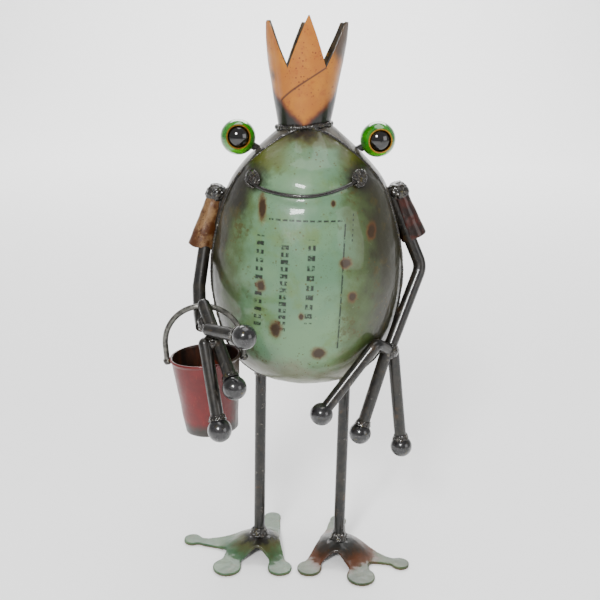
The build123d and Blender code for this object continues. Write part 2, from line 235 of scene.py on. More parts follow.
class Paint:
    """A node material with places in millimetres from the middle of the body."""

    def __init__(self, name, metallic=0.0, roughness=0.4, coat=0.35, coat_roughness=0.06):
        self.material = bpy.data.materials.new(name)
        self.material.use_nodes = True
        self.tree = self.material.node_tree
        self.shader = self.tree.nodes["Principled BSDF"]
        for socket, value in (("Metallic", metallic), ("Roughness", roughness), ("Coat Weight", coat),
                              ("Coat Roughness", coat_roughness), ("Specular IOR Level", 0.3)):
            self.shader.inputs[socket].default_value = value
        where = self.tree.nodes.new("ShaderNodeTexCoord").outputs["Object"]
        self.place = self.vector("MULTIPLY_ADD", where, (1000, 1000, 1000), tuple(-BODY))
        split = self.tree.nodes.new("ShaderNodeSeparateXYZ")
        self.tree.links.new(self.place, split.inputs[0])
        self.x, self.y, self.z = split.outputs

    def put(self, socket, value):
        if isinstance(value, bpy.types.NodeSocket):
            self.tree.links.new(value, socket)
        else:
            socket.default_value = value

    def vector(self, operation, *values):
        node = self.tree.nodes.new("ShaderNodeVectorMath")
        node.operation = operation
        for socket, value in zip(node.inputs, values):
            self.put(socket, value)
        return node.outputs[1 if operation in ("LENGTH", "DISTANCE", "DOT_PRODUCT") else 0]

    def math(self, operation, *values, clamp=False):
        node = self.tree.nodes.new("ShaderNodeMath")
        node.operation = operation
        node.use_clamp = clamp
        for socket, value in zip(node.inputs, values):
            self.put(socket, value)
        return node.outputs[0]

    def noise(self, size, detail=3.0, roughness=0.55, seed=0.0, stretch=(1, 1, 1)):
        """Noise from 0 to 1 with features of that size in millimetres."""
        node = self.tree.nodes.new("ShaderNodeTexNoise")
        factors = tuple(s / size for s in stretch)
        shifted = self.vector("MULTIPLY_ADD", self.place, factors, (seed, seed, seed))
        self.put(node.inputs["Vector"], shifted)
        node.inputs["Scale"].default_value = 1.0
        node.inputs["Detail"].default_value = detail
        node.inputs["Roughness"].default_value = roughness
        return node.outputs["Fac"]

    def cells(self, size, seed=0.0):
        node = self.tree.nodes.new("ShaderNodeTexVoronoi")
        shifted = self.vector("MULTIPLY_ADD", self.place, (1 / size,) * 3, (seed, seed, seed))
        self.put(node.inputs["Vector"], shifted)
        node.inputs["Scale"].default_value = 1.0
        return node.outputs["Distance"]

    def ease(self, value, low, high):
        """0 at low, 1 at high, smooth between them."""
        node = self.tree.nodes.new("ShaderNodeMapRange")
        node.interpolation_type = "SMOOTHSTEP"
        self.put(node.inputs["Value"], value)
        node.inputs["From Min"].default_value = min(low, high)
        node.inputs["From Max"].default_value = max(low, high)
        node.inputs["To Min"].default_value = 0.0 if low < high else 1.0
        node.inputs["To Max"].default_value = 1.0 if low < high else 0.0
        return node.outputs["Result"]

    def mix(self, factor, first, second):
        node = self.tree.nodes.new("ShaderNodeMix")
        node.data_type = "RGBA"
        self.put(node.inputs["Factor"], factor)
        self.put([s for s in node.inputs if s.name == "A" and s.type == "RGBA"][0], first)
        self.put([s for s in node.inputs if s.name == "B" and s.type == "RGBA"][0], second)
        return [s for s in node.outputs if s.type == "RGBA"][0]

    def times(self, first, *others):
        for other in others:
            first = self.math("MULTIPLY", first, other)
        return first

    def most(self, first, *others):
        for other in others:
            first = self.math("MAXIMUM", first, other)
        return first

    def front_spot(self, x, z, across, tall, soft=0.35, wobble=0.35, turn=0.0):
        """1 inside an uneven oval on the front, 0 outside."""
        dx, dz = self.math("SUBTRACT", self.x, x), self.math("SUBTRACT", self.z, z)
        c, s = cos(radians(turn)), sin(radians(turn))
        u = self.math("ADD", self.math("MULTIPLY", dx, c / across), self.math("MULTIPLY", dz, s / across))
        v = self.math("SUBTRACT", self.math("MULTIPLY", dz, c / tall), self.math("MULTIPLY", dx, s / tall))
        far = self.math("SQRT", self.math("ADD", self.math("MULTIPLY", u, u), self.math("MULTIPLY", v, v)))
        uneven = self.math("MULTIPLY_ADD", self.noise(3.0, 3, 0.6, x * 0.37), wobble * 2, -wobble)
        spot = self.ease(self.math("ADD", far, uneven), 1 + soft, 1 - soft)
        return self.times(spot, self.ease(self.y, 0.0, -8.0))

    def ball(self, centre, radius, soft):
        """1 near a point, 0 beyond radius + soft."""
        far = self.vector("DISTANCE", self.place, tuple(centre))
        return self.ease(far, radius + soft, radius - soft)

    def bump(self, height, strength=0.3, distance=0.3):
        node = self.tree.nodes.new("ShaderNodeBump")
        node.inputs["Strength"].default_value = strength
        node.inputs["Distance"].default_value = distance * MM
        self.put(node.inputs["Height"], height)
        self.put(self.shader.inputs["Normal"], node.outputs["Normal"])
        return node.outputs["Normal"]

    def edge(self):
        node = self.tree.nodes.new("ShaderNodeAttribute")
        node.attribute_name = "edge"
        return node.outputs["Fac"]

    def colour(self, value):
        self.put(self.shader.inputs["Base Color"], value)

    def rough(self, value):
        self.put(self.shader.inputs["Roughness"], value)


BLACK_BURN = tone(24, 22, 19)
RUST_DARK = tone(56, 42, 28)
RUST = tone(112, 74, 44)


def body_paint():
    """Old mint-green drum paint: olive and burnt towards the welds, with painted shade towards its sides and
    on the right, chipped, with a worn stencil.
    """
    p = Paint("body_green_paint", roughness=0.42)
    cloud = p.noise(38, 4, 0.6, 1.0)
    green = p.mix(p.ease(cloud, 0.35, 0.68), tone(126, 152, 130), tone(146, 170, 144))
    green = p.mix(p.times(p.ease(p.noise(22, 5, 0.65, 4.0), 0.5, 0.72), 0.6), green, tone(124, 140, 98))
    # towards the seam of the shells the paint turns olive, then brown: partly the real paint, partly painted
    # shade where the body turns away from the front
    round_axis = p.math("SQRT", p.math("ADD", p.math("MULTIPLY", p.y, p.y), p.math("MULTIPLY", p.x, p.x)))
    facing = p.math("DIVIDE", p.math("MULTIPLY", p.y, -1.0), round_axis)
    ragged = p.math("MULTIPLY_ADD", p.noise(16, 5, 0.65, 7.0), 0.42, -0.21)
    turned = p.math("ADD", facing, ragged)
    # painted shade: the right side, away from the key light, turns dark sooner
    turned = p.math("SUBTRACT", turned, p.math("MULTIPLY", p.ease(p.x, 0, 30), 0.2))
    green = p.mix(p.times(p.ease(turned, 0.9, 0.64), 0.88), green, tone(80, 90, 60))
    green = p.mix(p.times(p.ease(turned, 0.70, 0.45), 0.92), green, tone(44, 40, 29))
    # the bottom is worn to greyish brown
    low = p.math("ADD", p.z, p.math("MULTIPLY_ADD", p.noise(14, 5, 0.65, 2.0), 40, -20))
    green = p.mix(p.times(p.ease(low, 176, 154), 0.75), green, tone(136, 132, 116))
    # the head: olive round the crown, burnt black at its weld
    high = p.math("ADD", p.z, p.math("MULTIPLY_ADD", p.noise(10, 4, 0.6, 3.0), 14, -7))
    off_middle = p.math("ABSOLUTE", p.math("SUBTRACT", p.x, 3.0))
    sides_of_head = p.times(p.ease(off_middle, 12, 24), p.ease(high, 284, 292))
    green = p.mix(p.times(sides_of_head, 0.7), green, tone(104, 106, 66))
    green = p.mix(p.times(p.ease(high, 298, 306), 0.85), green, tone(88, 84, 56))
    green = p.mix(p.ease(high, 304, 310), green, BLACK_BURN)
    # burns at the corners of the mouth
    for x, z, wide, tall in ((-38.5, 282.5, 11, 8), (31.5, 284, 10, 8.5), (-46, 270, 7, 12)):
        burn = p.front_spot(x, z, wide, tall, 0.55, 0.45)
        green = p.mix(p.times(burn, 0.93), green, tone(34, 31, 26))
    # brown blotches, most of them towards the edges
    blotch = p.times(p.ease(p.noise(13, 6, 0.72, 40.0), 0.55, 0.66), p.ease(turned, 1.0, 0.8))
    green = p.mix(p.times(blotch, 0.7), green, tone(78, 70, 44))
    chipped = p.ease(p.noise(6.5, 6, 0.78, 50.0), 0.655, 0.7)
    green = p.mix(p.times(chipped, 0.75), green, tone(84, 68, 44))
    # fine brown specks
    speck = p.times(p.ease(p.cells(3.4), 0.22, 0.12), p.ease(p.noise(15, 3, 0.6, 9.0), 0.46, 0.6))
    green = p.mix(p.times(speck, 0.75), green, tone(92, 78, 50))
    fine = p.times(p.ease(p.cells(1.5, 5.0), 0.24, 0.1), p.ease(p.noise(20, 3, 0.6, 12.0), 0.5, 0.62))
    green = p.mix(p.times(fine, 0.6), green, tone(80, 72, 50))
    pale = p.ease(p.noise(9, 6, 0.75, 15.0), 0.64, 0.74)
    green = p.mix(p.times(pale, 0.5), green, tone(186, 196, 172))
    # worn stencil: bars and rows of short dashes, no letters
    worn = p.ease(p.noise(2.6, 5, 0.75, 21.0), 0.38, 0.5)

    def strip(value, low, high, soft=0.35):
        return p.times(p.ease(value, low - soft, low + soft), p.ease(value, high + soft, high - soft))

    def dashes(value, pitch, share, shift=0.0):
        part = p.math("FRACT", p.math("DIVIDE", p.math("ADD", value, 500 + shift), pitch))
        return p.times(p.ease(part, 0.0, 0.12), p.ease(part, share + 0.1, share))

    tilt_x = p.math("ADD", p.x, p.math("MULTIPLY", p.math("SUBTRACT", p.z, 250), -0.03))
    top_line = p.times(strip(p.z, 259.3, 260.4), strip(p.x, -26, 21.5), dashes(p.x, 4.2, 0.72))
    side_line = p.times(strip(tilt_x, 21.0, 22.0), strip(p.z, 178, 258))
    columns = []
    rows = ((-30.0, 190, 250, 5.2, 0.5, 0.0), (-14.6, 190, 247, 4.4, 0.62, 1.3),
            (1.8, 196, 249, 6.1, 0.55, 2.1))
    for x, low_z, high_z, pitch, share, shift in rows:
        row = dashes(p.z, pitch, share, shift)
        body_of_row = p.times(strip(tilt_x, x - 2.3, x + 2.3), strip(p.z, low_z, high_z), row)
        hole = p.times(strip(tilt_x, x - 0.7, x + 0.6), dashes(p.z, pitch * 2, 0.5, shift))
        gap = p.math("SUBTRACT", 1.0, hole)
        columns.append(p.times(body_of_row, gap))
    faint = p.times(strip(tilt_x, 26.0, 26.8), strip(p.z, 246, 264), dashes(p.z, 3.0, 0.5))
    ink = p.times(p.most(top_line, side_line, faint, *columns), worn, p.ease(p.y, 0.0, -8.0))
    green = p.mix(p.times(ink, 0.95), green, tone(20, 22, 18))
    # chips down to rusty steel
    chips = [(38.5, 252, 2.3, 4.2), (22.5, 234.5, 3.2, 2.6), (-29.5, 265.5, 2.0, 6.2), (-29.5, 219, 2.4, 3.0),
             (27.5, 213, 2.2, 2.8), (7.5, 175, 3.8, 3.6), (-20, 191, 3.0, 4.8), (-4, 201, 1.4, 2.0),
             (14, 270, 1.2, 1.6)]
    for x, z, wide, tall in chips:
        rim = p.front_spot(x, z, wide * 1.35, tall * 1.3, 0.4, 0.4)
        green = p.mix(p.times(rim, 0.75), green, RUST)
        green = p.mix(p.front_spot(x, z, wide, tall, 0.3, 0.4), green, RUST_DARK)
    scratch = p.times(p.ease(p.noise(1.2, 2, 0.5, 30.0, (1, 1, 0.06)), 0.66, 0.7), p.ease(low, 186, 160))
    green = p.mix(p.times(scratch, 0.7), green, tone(70, 62, 48))
    p.colour(green)
    p.rough(p.math("MULTIPLY_ADD", p.noise(5, 4, 0.6, 8.0), 0.35, 0.25))
    relief = p.math("ADD", p.math("MULTIPLY", p.noise(7, 3, 0.5, 6.0), 1.0),
                    p.math("MULTIPLY", p.most(speck, ink), -0.12))
    p.bump(p.math("ADD", relief, p.math("MULTIPLY", p.noise(0.9, 3, 0.6, 11.0), 0.06)), 0.55, 0.5)
    return p.material


def metal_material(name, dark, light, accents=(), size=4.0, metallic=0.85, roughness=(0.22, 0.5), bump=0.4,
                   coat=0.8, stretch=(1, 1, 1)):
    """Bare steel with patches of other tones, mill scale and fine relief, under lacquer."""
    p = Paint(name, metallic=metallic, coat=coat, coat_roughness=0.07)
    base = p.mix(p.ease(p.noise(size, 5, 0.65, 1.0, stretch), 0.36, 0.66), dark, light)
    for number, (colour, amount, patch) in enumerate(accents):
        mask = p.ease(p.noise(patch, 4, 0.65, 10.0 + 7 * number), 0.64 - amount * 0.2, 0.72 - amount * 0.2)
        base = p.mix(p.times(mask, 0.85), base, colour)
    p.colour(base)
    low, high = roughness
    p.rough(p.math("MULTIPLY_ADD", p.noise(size * 0.7, 4, 0.6, 5.0), high - low, low))
    fine = p.math("MULTIPLY", p.noise(size * 0.12, 3, 0.6, 4.0), 0.25)
    p.bump(p.math("ADD", p.noise(size * 0.6, 4, 0.6, 3.0), fine), bump, 0.35)
    return p.material


def crown_paint():
    """Orange drum paint, speckled brown, burnt black towards its weld and at the cut edges."""
    p = Paint("crown_orange_paint", roughness=0.38)
    orange = p.mix(p.ease(p.noise(16, 4, 0.6, 2.0), 0.35, 0.65), tone(190, 132, 16), tone(206, 150, 24))
    orange = p.mix(p.times(p.ease(p.noise(7, 5, 0.7, 6.0), 0.55, 0.7), 0.6), orange, tone(160, 98, 30))
    speck = p.times(p.ease(p.cells(2.4, 3.0), 0.3, 0.15), p.ease(p.noise(9, 3, 0.6, 9.0), 0.45, 0.6))
    orange = p.mix(p.times(speck, 0.8), orange, tone(110, 58, 24))
    # how far round from the front
    aside = p.math("ABSOLUTE", p.math("ARCTAN2", p.math("ADD", p.x, 5.0), p.math("MULTIPLY", p.y, -1.0)))
    ragged = p.math("MULTIPLY_ADD", p.noise(8, 4, 0.6, 12.0), 0.9, -0.45)
    # the painted field narrows downwards to a rounded point
    width = p.math("MULTIPLY", p.math("SUBTRACT", p.z, 313.0), 0.058)
    outside = p.math("ADD", p.math("SUBTRACT", aside, width), p.math("MULTIPLY", ragged, 0.5))
    brown = p.mix(p.ease(outside, -0.25, 0.1), orange, tone(112, 66, 30))
    field = p.mix(p.ease(outside, -0.05, 0.25), brown, BLACK_BURN)
    # the slanting overlap of the rolled sheet, with a painted shadow along its edge
    signed = p.math("ARCTAN2", p.math("ADD", p.x, 5.0), p.math("MULTIPLY", p.y, -1.0))
    line = p.math("MULTIPLY_ADD", p.math("SUBTRACT", signed, radians(33)), 18.5 / radians(72), 349.2)
    off_line = p.math("ABSOLUTE", p.math("SUBTRACT", p.z, line))
    along_lap = p.times(p.ease(signed, radians(35), radians(32)), p.ease(signed, radians(-55), radians(-45)))
    lap_shadow = p.times(p.ease(off_line, 1.1, 0.2), along_lap)
    field = p.mix(p.times(lap_shadow, 0.85), field, tone(66, 36, 18))
    # the sides of the crown are darker towards the silhouette: partly smoke, partly painted shade where the
    # crown turns away from the front
    smoke_and_shade = p.ease(p.math("ADD", aside, ragged), 1.15, 1.75)
    field = p.mix(p.times(smoke_and_shade, 0.85), field, tone(78, 66, 50))
    left_patch = p.ball((-24.0, -9.0, 344.0), 3.0, 3.2)
    field = p.mix(p.times(left_patch, 0.95), field, BLACK_BURN)
    uneven_z = p.math("ADD", p.z, p.math("MULTIPLY", ragged, 12))
    right_smoke = p.times(p.ease(p.x, 9.0, 15.0), p.ease(uneven_z, 350, 360))
    field = p.mix(p.times(right_smoke, 0.9), field, tone(58, 54, 48))
    field = p.mix(p.times(p.ease(p.edge(), 0.45, 0.8), 0.8), field, tone(62, 44, 26))
    p.colour(field)
    p.rough(p.math("MULTIPLY_ADD", p.noise(4, 4, 0.6, 8.0), 0.3, 0.25))
    p.bump(p.math("ADD", p.noise(5, 3, 0.5, 6.0), p.math("MULTIPLY", speck, -0.1)), 0.45, 0.4)
    return p.material


def sleeve_sheet():
    """Rusted sheet, copper brown to dark, speckled, under lacquer."""
    p = Paint("sleeve_copper_brown", metallic=0.1, roughness=0.35)
    brown = p.mix(p.ease(p.noise(8, 5, 0.65, 2.0), 0.38, 0.64), tone(88, 60, 46), tone(162, 138, 116))
    # the right sleeve is darker: partly its own dark rust, partly painted shade on the side away from the key
    # light
    brown = p.mix(p.ease(p.x, -20, 20), brown, p.mix(p.ease(p.noise(7, 5, 0.65, 3.0), 0.4, 0.62),
                                                     tone(30, 18, 13), tone(66, 34, 22)))
    speck = p.times(p.ease(p.cells(1.7), 0.3, 0.14), p.ease(p.noise(6, 3, 0.6, 7.0), 0.42, 0.56))
    brown = p.mix(p.times(speck, 0.85), brown, tone(48, 32, 24))
    chip = p.ease(p.noise(4, 4, 0.7, 17.0), 0.66, 0.72)
    brown = p.mix(p.times(chip, 0.6), brown, tone(176, 160, 140))
    brown = p.mix(p.times(p.ease(p.edge(), 0.5, 0.9), 0.7), brown, tone(40, 32, 28))
    p.colour(brown)
    p.rough(p.math("MULTIPLY_ADD", p.noise(3, 4, 0.6, 8.0), 0.35, 0.2))
    p.bump(p.math("ADD", p.noise(4, 4, 0.6, 6.0), p.math("MULTIPLY", speck, -0.2)), 0.5, 0.4)
    return p.material


def foot_paint(side, leg):
    """Drum paint on the toes, burnt black round the leg; the right foot turns rust brown between them."""
    p = Paint(f"foot_paint_{side}", roughness=0.4)
    mint = p.mix(p.ease(p.noise(18, 4, 0.6, 3.0), 0.36, 0.66), tone(74, 100, 76), tone(96, 120, 90))
    olive = p.mix(p.ease(p.noise(16, 4, 0.6, 5.0), 0.36, 0.66), tone(60, 76, 52), tone(80, 94, 64))
    paint = mint if side == "left" else olive
    paint = p.mix(p.times(p.ease(p.noise(9, 5, 0.7, 8.0), 0.54, 0.7), 0.7), paint, tone(98, 96, 66))
    far = p.vector("DISTANCE", p.vector("MULTIPLY", p.place, (1, 1, 0)), (leg[0], leg[1], 0))
    ragged = p.math("ADD", far, p.math("MULTIPLY_ADD", p.noise(9, 5, 0.65, 4.0), 22, -11))
    if side == "left":
        paint = p.mix(p.times(p.ease(ragged, 24, 14), 0.85), paint, tone(84, 80, 58))
        paint = p.mix(p.ease(ragged, 15, 8), paint, BLACK_BURN)
    else:
        paint = p.mix(p.ease(ragged, 33, 23), paint, tone(96, 62, 38))
        paint = p.mix(p.ease(ragged, 25, 15), paint, tone(50, 38, 28))
        paint = p.mix(p.ease(ragged, 17, 9), paint, tone(38, 38, 36))
    speck = p.times(p.ease(p.cells(2.6), 0.26, 0.12), p.ease(p.noise(12, 3, 0.6, 9.0), 0.44, 0.58))
    paint = p.mix(p.times(speck, 0.75), paint, tone(82, 62, 40))
    hem = p.ease(p.z, 1.5, 0.6)
    paint = p.mix(p.times(hem, 0.85), paint, tone(90, 64, 42))
    p.colour(paint)
    p.rough(p.math("MULTIPLY_ADD", p.noise(4, 4, 0.6, 2.0), 0.3, 0.26))
    p.bump(p.math("ADD", p.noise(6, 3, 0.5, 6.0), p.math("MULTIPLY", speck, -0.12)), 0.5, 0.45)
    return p.material


def bucket_paint():
    """Old red paint, darker and burnt at the bottom edge, and darker down the side towards the body."""
    p = Paint("bucket_red_paint", roughness=0.4, coat_roughness=0.1)
    red = p.mix(p.ease(p.noise(12, 5, 0.6, 2.0), 0.36, 0.66), tone(98, 30, 26), tone(116, 46, 40))
    red = p.mix(p.times(p.ease(p.noise(5, 5, 0.7, 5.0), 0.56, 0.7), 0.7), red, tone(112, 50, 42))
    streak = p.ease(p.noise(1.2, 3, 0.6, 9.0, (1, 1, 0.15)), 0.6, 0.68)
    red = p.mix(p.times(streak, 0.3), red, tone(160, 96, 86))
    ragged = p.math("MULTIPLY_ADD", p.noise(7, 5, 0.65, 4.0), 12, -6)
    low = p.math("ADD", p.math("ADD", p.z, p.math("MULTIPLY", p.x, -0.07)), ragged)
    red = p.mix(p.ease(low, 134, 127), red, tone(62, 58, 54))
    right = p.math("ADD", p.math("ADD", p.x, p.math("MULTIPLY", ragged, 0.4)), p.math("MULTIPLY", p.z, 0.04))
    red = p.mix(p.times(p.ease(right, -43.5, -38.5), 0.9), red, tone(64, 60, 54))
    p.colour(red)
    p.rough(p.math("MULTIPLY_ADD", p.noise(4, 4, 0.6, 2.0), 0.3, 0.28))
    p.bump(p.noise(5, 4, 0.6, 6.0), 0.45, 0.4)
    return p.material


def glass():
    p = Paint("eye_green_glass", roughness=0.03, coat=1.0, coat_roughness=0.02)
    deep = p.mix(p.ease(p.noise(7, 3, 0.5, 2.0), 0.35, 0.65), tone(64, 132, 26), tone(92, 164, 44))
    # lighter green on the lower part of the ball: painted light, the glow gathered through the glass at its
    # bottom
    low = p.mix(p.ease(p.z, 304, 295), deep, tone(112, 176, 74))
    p.colour(low)
    p.shader.inputs["Transmission Weight"].default_value = 0.35
    p.shader.inputs["IOR"].default_value = 1.5
    p.shader.inputs["Subsurface Weight"].default_value = 0.25
    p.shader.inputs["Subsurface Radius"].default_value = (0.4, 1.0, 0.3)
    p.shader.inputs["Subsurface Scale"].default_value = 0.004
    p.bump(p.noise(6, 2, 0.5, 1.0), 0.05, 0.1)
    return p.material


def pupil():
    p = Paint("eye_pupil_black", roughness=0.08, coat=1.0, coat_roughness=0.02)
    p.colour(p.mix(p.ease(p.noise(3, 3, 0.5, 2.0), 0.4, 0.7), tone(8, 8, 8), tone(20, 17, 14)))
    p.bump(p.noise(5, 2, 0.5, 1.0), 0.04, 0.1)
    return p.material


GREEN = body_paint()
SHELL = metal_material("bare_drum_sheet", tone(70, 66, 60), tone(128, 124, 116),
                       ((tone(52, 44, 36), 0.3, 12), (tone(104, 84, 62), 0.2, 9)),
                       12, 0.4, (0.3, 0.55), 0.5, 0.4)
# the light silver patches in the weld's colour are painted highlights, standing for its glints
WELD = metal_material("burnt_weld_painted_glints", tone(20, 19, 18), tone(58, 54, 49),
                      ((tone(168, 166, 160), 0.25, 2.6), (tone(84, 78, 44), 0.25, 3.4),
                       (tone(70, 50, 34), 0.2, 3.0)),
                      2.2, 0.35, (0.15, 0.45), 0.8, 0.8)
BAR = metal_material("dark_bar_steel", tone(14, 13, 12), tone(48, 45, 40),
                     ((tone(66, 52, 38), 0.2, 7), (tone(120, 116, 110), 0.1, 4)),
                     5, 0.1, (0.3, 0.55), 0.35, 0.5)
BALL = metal_material("dark_ball_steel", tone(22, 22, 23), tone(58, 57, 58),
                      ((tone(92, 84, 50), 0.08, 3),), 4, 0.12, (0.2, 0.4), 0.15, 0.9)
BAIL = metal_material("bail_wire_steel", tone(84, 83, 80), tone(142, 141, 136), (),
                      3, 0.5, (0.25, 0.4), 0.3, 0.5)
WIRE = metal_material("mouth_wire_black", tone(16, 15, 14), tone(46, 43, 39), (),
                      3, 0.15, (0.2, 0.4), 0.5, 0.6)
TIN_INSIDE = metal_material("bucket_inside_brown", tone(34, 27, 24), tone(78, 54, 46),
                            ((tone(112, 62, 54), 0.25, 7),), 8, 0.15, (0.3, 0.55), 0.3, 0.4, (1, 1, 0.3))
CROWN_INSIDE = metal_material("crown_inside_dark", tone(34, 30, 26), tone(86, 74, 58),
                              ((tone(140, 110, 70), 0.2, 6),), 6, 0.2, (0.3, 0.5), 0.4, 0.4)
GOLD = metal_material("eye_ring_gold", tone(168, 128, 52), tone(214, 178, 92), (),
                      2, 0.9, (0.15, 0.3), 0.2, 1.0)
CROWN = crown_paint()
SLEEVE = sleeve_sheet()
BUCKET = bucket_paint()
GLASS = glass()
PUPIL = pupil()

# ---- body shells ----
NOSE = (-3.1, 287.5)


def relief(point):
    """How far the hammered skin stands off the egg, in millimetres."""
    x, y, z = point
    height = 0.42 * lumps(point, 19.0, 1.0) + 0.16 * lumps(point, 7.0, 4.0)
    if y < 0:
        mouth_z = 274.0 + 0.0056 * (x + 3)**2
        above = min(max((z - mouth_z) / 5.0, 0.0), 1.0)
        snout = 2.4 * np.exp(-((x - NOSE[0]) / 27)**2 - ((z - NOSE[1]) / 10.5)**2) * above
        crease = -0.9 * np.exp(-((z - mouth_z + 2.5) / 3.0)**2) * np.exp(-((x + 4) / 34)**4)
        height += float(snout + crease)
    return height


def seam_angle(radius):
    return acos(SEAM / radius) if radius > SEAM else 0.0


steps = np.arange(len(outline)) / (len(outline) - 1)
beyond = np.where(outline[:, 0] > SEAM)[0]
first_step, last_step = steps[beyond[0]], steps[beyond[-1]]
ROWS, COLUMNS = ((200, 180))


def shell(name, row_steps, front, material, inner):
    points, marks = [], []
    for step in row_steps:
        radius = np.interp(step, steps, outline[:, 0])
        half = seam_angle(radius)
        start, end = (-pi / 2 - half, -pi / 2 + half) if front else (-pi / 2 + half, 3 * pi / 2 - half)
        for angle in np.linspace(start, end, COLUMNS):
            skin = egg_point(step, angle)
            outwards = (egg_point(step, angle, 1.0) - skin).normalized()
            points.append(skin + outwards * relief(skin))
            marks.append(0.0)
    faces = grid_faces(len(row_steps), COLUMNS)
    node = name.replace("_skin", "")
    piece = new_object(name, points, faces, [material, inner], "frog", (node,), marks)
    return thicken(piece, SHEET, 1, 0)


ease_in = (1 - np.cos(np.linspace(0, pi, ROWS))) / 2
front_rows = first_step + (last_step - first_step) * ease_in
below_seam = np.linspace(0, first_step, 12)[:-1]
above_seam = np.linspace(last_step, 1, 12)[1:]
back_rows = np.concatenate([below_seam, front_rows, above_seam])
shell("body_front_shell_skin", front_rows, True, GREEN, SHELL)
shell("body_back_shell_skin", back_rows, False, SHELL, SHELL)

# the seam weld: a thin uneven bead round the meeting edges
def seam_point(step, side):
    """Where the shells meet: side is -1 for the left edge and 1 for the right."""
    return egg_point(step, -pi / 2 + side * seam_angle(np.interp(step, steps, outline[:, 0])), 0.1)


seam_path = [seam_point(s, -1) for s in front_rows]
seam_path += [seam_point(s, 1) for s in front_rows[::-1]]


def evenly(path, gap, closed=False):
    """The path again with points that far apart."""
    path = [Vector(p) for p in path]
    if closed:
        path.append(path[0])
    lengths = np.concatenate([[0], np.cumsum([(b - a).length for a, b in zip(path, path[1:])])])
    count = max(int(lengths[-1] / gap), 4)
    wanted = np.linspace(0, lengths[-1], count + 1)
    if closed:
        wanted = wanted[:-1]
    flat = np.array(path)
    return [Vector([np.interp(w, lengths, flat[:, k]) for k in range(3)]) for w in wanted]


bead("seam_weld_bead", evenly(seam_path, 0.6, True), 0.95, WELD, "frog", ("body_seam_weld",), 0.55, True, 10)

# ---- mouth ----
MOUTH = [(-39.7, 279.8), (-31.4, 277.0), (-21.2, 275.1), (-2.8, 274.1), (17.4, 277.9), (28.9, 281.9)]
lips = curve_through(MOUTH, (0.94, -0.33), (0.94, 0.33), 160)
bead("mouth_wire_round", [on_front(x, z, 0.35) for x, z in lips], 1.15, WIRE, "frog", ("mouth_wire",), 0.12)
for side in SIDES:
    weathered(f"mouth_weld_{side}", WELD, "frog", 0.3, 0.9, 2.4, 1)

# ---- crown ----
CROWN_AT = Vector((-5.0, 0.0, 0.0))
CROWN_BASE, CROWN_SLOPE = 14.8, 13.8 / 76.8
VALLEY_Z, TIP_Z, FRONT_TIP_Z = 349.0, 376.8, 380.0
NOTCH = 12.8 / 27.8
TURN = radians(3.0)
PITCH = pi / 3


def crown_radius(z):
    return CROWN_BASE + CROWN_SLOPE * (z - 300.0)


def crown_point(angle, z, out=0.0):
    radius = crown_radius(z) + out
    return CROWN_AT + Vector((radius * cos(angle), radius * sin(angle), z))


def crown_foot(angle):
    """Where the crown's side meets the head."""
    low, high = 300.0, 326.0
    for _ in range(24):
        middle = (low + high) / 2
        spot = crown_point(angle, middle)
        inside = sqrt((spot.x - AXIS_X + middle * sin(LEAN))**2 + spot.y**2) < egg_radius(middle)
        low, high = (middle, high) if inside else (low, middle)
    return low


def crown_top(angle):
    """Height of the cut edge: six pointed teeth, the front one a little taller."""
    turned = (angle + pi / 2 - TURN) / PITCH
    from_valley = (0.5 - abs(turned - round(turned))) * PITCH
    k = sin(from_valley) / NOTCH
    edge = (VALLEY_Z + k * (CROWN_BASE - 300.0 * CROWN_SLOPE)) / (1 - k * CROWN_SLOPE)
    front = round(turned) % 6 == 0
    return min(edge, FRONT_TIP_Z if front else TIP_Z)


def lap(angle, z):
    """The overlap of the rolled sheet: a step along a slanting line across the front."""
    from_front = (angle + pi / 2 + pi) % (2 * pi) - pi
    line = 349.5 + (from_front - radians(33)) * 18.5 / radians(72)
    above = min(max((z - line) / 0.5, 0.0), 1.0)
    reach = min(max((from_front + radians(52)) / radians(12), 0.0), 1.0)
    reach *= 1 if from_front < radians(33.5) else 0
    return above * reach


crown_columns, crown_rows = ((372, 72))
points, marks = [], []
for r in range(crown_rows):
    for c in range(crown_columns):
        angle = 2 * pi * c / crown_columns - pi / 2 + TURN
        foot, top = crown_foot(angle) - 1.2, crown_top(angle)
        z = foot + (top - foot) * r / (crown_rows - 1)
        spot = crown_point(angle, z)
        out = 0.3 * lumps(spot, 13.0, 2.0) + 0.55 * lap(angle, z)
        points.append(crown_point(angle, z, out))
        marks.append(min(max(1 - (top - z) / 0.9, 0.0), 1.0))
crown_faces = grid_faces(crown_rows, crown_columns, True)
crown = new_object("crown_cut_sheet", points, crown_faces, [CROWN, CROWN_INSIDE], "frog", ("crown",), marks)
thicken(crown, SHEET, 1, 1)
base_ring = [crown_point(a, crown_foot(a) + 0.4, 0.5) for a in np.linspace(-pi, pi, 180, endpoint=False)]
bead("crown_weld_bead", evenly(base_ring, 0.5, True), 1.7, WELD, "frog", ("crown_weld",), 0.75, True, 14)

# ---- eyes ----
for side in SIDES:
    for part, material in (("ball", GLASS), ("ring", GOLD), ("pupil", PUPIL)):
        nodes[f"eye_{part}_{side}"].data.materials.clear()
        nodes[f"eye_{part}_{side}"].data.materials.append(material)
        nodes[f"eye_{part}_{side}"].data.shade_smooth()

